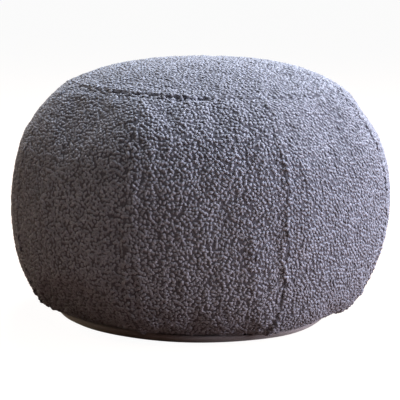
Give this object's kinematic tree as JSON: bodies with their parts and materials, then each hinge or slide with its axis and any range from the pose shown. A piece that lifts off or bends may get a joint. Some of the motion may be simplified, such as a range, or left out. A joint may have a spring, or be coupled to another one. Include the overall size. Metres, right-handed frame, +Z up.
{
  "type": "boucle pouf",
  "caption": "Squat round floor pouf: boucle side panels sewn under a crowned round top, drawn in at the seams, on a flat base cloth.",
  "frame": {"origin": "centre of the flat underside, on the surface that the pouf stands on", "axes": "+Z up; -Y is the front, where the picture's camera stands; +X is to the right seen from the front"},
  "size_m": [0.5594, 0.5618, 0.38],
  "materials": {
    "boucle": "looped boucle, grey",
    "base_cloth": "plain woven, light grey"
  },
  "bodies": {
    "root": {"side_panel_1": "boucle", "side_panel_2": "boucle", "side_panel_3": "boucle", "side_panel_4": "boucle", "side_panel_5": "boucle", "side_panel_6": "boucle", "side_panel_7": "boucle", "side_panel_8": "boucle", "top_panel": "boucle", "base_panel": "base_cloth"}
  },
  "joints": []
}
